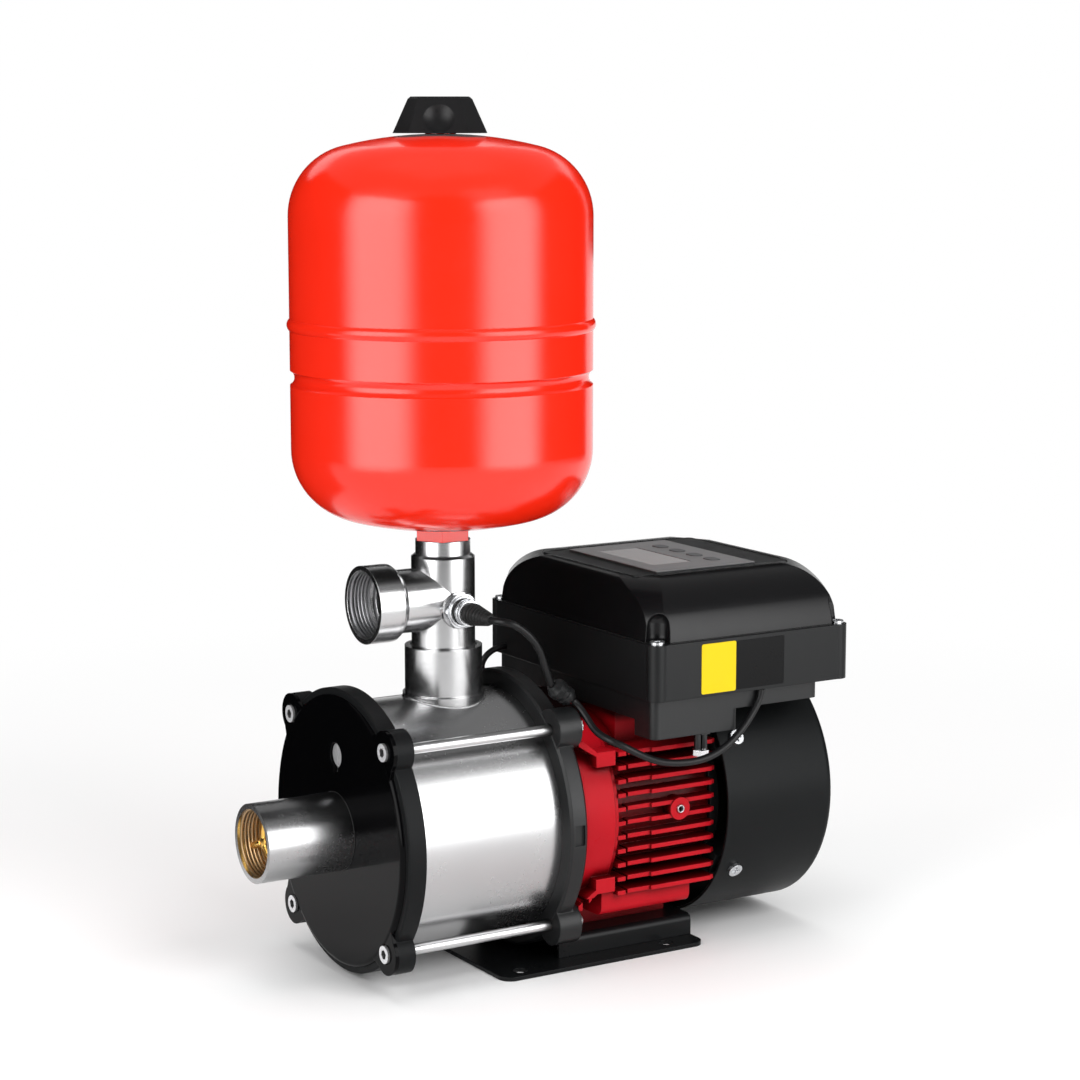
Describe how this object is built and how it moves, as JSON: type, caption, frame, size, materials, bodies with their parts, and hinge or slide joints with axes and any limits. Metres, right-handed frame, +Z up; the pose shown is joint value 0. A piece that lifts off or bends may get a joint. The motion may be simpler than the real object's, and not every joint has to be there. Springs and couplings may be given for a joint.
{
  "type": "centrifugal pump",
  "caption": "Horizontal multistage centrifugal booster pump with finned motor, top-mounted speed controller, stainless discharge tee and red pressure tank",
  "frame": {"origin": "the middle of the four fixing holes, on the underside of the base plate", "axes": "-X points out of the suction port, +X towards the fan along the shaft, +Z up; -Y is the side with the sensor lead"},
  "size_m": [0.3618, 0.1947, 0.5174],
  "materials": {
    "black_steel": "satin black paint on sheet steel",
    "zinc": "zinc plated",
    "black_casting": "gloss black paint on a casting",
    "stainless": "brushed stainless steel",
    "pressed_stainless": "pressed stainless steel",
    "shaft_steel": "ground steel",
    "brass": "turned brass",
    "rubber": "matte black rubber",
    "lead_jacket": "black cable jacket",
    "carbon": "carbon seal face in a rubber bellows",
    "ceramic": "lapped ceramic",
    "motor_red": "red enamel on cast aluminium",
    "lamination": "stacked laminations",
    "copper": "enamelled copper wire",
    "bearing_steel": "polished bearing steel",
    "fan_plastic": "moulded black plastic",
    "heat_sink": "black coated cast aluminium",
    "box_plastic": "satin black moulded plastic",
    "lid_plastic": "semi-gloss black moulded plastic",
    "panel_grey": "satin grey panel",
    "display": "glossy display window",
    "buttons": "grey keypad rubber",
    "circuit_board": "green solder mask",
    "tank_red": "gloss red powder coat"
  },
  "bodies": {
    "pump": {"base_plate": "black_steel", "foot_channel": "black_steel", "fan_cowl": "black_steel", "foot_bolts": "zinc", "tie_bolts": "zinc", "vent_plug": "zinc", "cowl_screws": "zinc", "lid_screws": "zinc", "front_cover": "black_casting", "rear_bracket": "black_casting", "end_shield": "black_casting", "suction_port": "stainless", "barrel": "stainless", "discharge_port": "stainless", "tee": "stainless", "pressure_sensor": "stainless", "diffuser_1": "pressed_stainless", "diffuser_2": "pressed_stainless", "diffuser_3": "pressed_stainless", "diffuser_4": "pressed_stainless", "check_valve_spring": "shaft_steel", "check_valve_cage": "brass", "barrel_seals": "rubber", "lid_gasket": "rubber", "tank_diaphragm": "rubber", "sensor_lead": "lead_jacket", "motor_lead": "lead_jacket", "seal_seat": "ceramic", "motor_housing": "motor_red", "stator_core": "lamination", "stator_windings": "copper", "bearing_outer_rings": "bearing_steel", "bearing_balls": "bearing_steel", "controller_base": "heat_sink", "controller_frame": "box_plastic", "cable_glands": "box_plastic", "lead_connector": "box_plastic", "controller_lid": "lid_plastic", "display_panel": "panel_grey", "display_window": "display", "display_board": "circuit_board", "power_board": "circuit_board", "tank_shell": "tank_red"},
    "rotor": {"shaft": "shaft_steel", "impeller_1": "pressed_stainless", "impeller_2": "pressed_stainless", "impeller_3": "pressed_stainless", "impeller_4": "pressed_stainless", "spacer_sleeves": "shaft_steel", "impeller_nut": "shaft_steel", "seal_ring": "carbon", "rotor_core": "lamination", "bearing_inner_rings": "bearing_steel", "fan": "fan_plastic"},
    "poppet": {"check_valve_poppet": "rubber"},
    "tank_cap": {"valve_cap": "box_plastic"},
    "key_1": {"button_1": "buttons"},
    "key_2": {"button_2": "buttons"},
    "key_3": {"button_3": "buttons"},
    "key_4": {"button_4": "buttons"}
  },
  "joints": [
    {"name": "rotor_spin", "type": "hinge", "parent": "pump", "child": "rotor", "pos_m": [0, 0, 0.088], "axis": [1, 0, 0], "continuous": true},
    {"name": "poppet_lift", "type": "slide", "parent": "pump", "child": "poppet", "axis": [1, 0, 0], "range_m": [0, 0.008], "stiffness_N_per_m": 60, "springref_m": -0.003, "deforming": ["check_valve_spring"]},
    {"name": "key_1_press", "type": "slide", "parent": "pump", "child": "key_1", "axis": [0, 0, -1], "range_m": [0, 0.0008], "stiffness_N_per_m": 400, "springref_m": -0.0005},
    {"name": "key_2_press", "type": "slide", "parent": "pump", "child": "key_2", "axis": [0, 0, -1], "range_m": [0, 0.0008], "stiffness_N_per_m": 400, "springref_m": -0.0005},
    {"name": "key_3_press", "type": "slide", "parent": "pump", "child": "key_3", "axis": [0, 0, -1], "range_m": [0, 0.0008], "stiffness_N_per_m": 400, "springref_m": -0.0005},
    {"name": "key_4_press", "type": "slide", "parent": "pump", "child": "key_4", "axis": [0, 0, -1], "range_m": [0, 0.0008], "stiffness_N_per_m": 400, "springref_m": -0.0005},
    {"name": "tank_cap_lift", "type": "slide", "parent": "pump", "child": "tank_cap", "axis": [0, 0, 1], "range_m": [0, 0.03]}
  ]
}
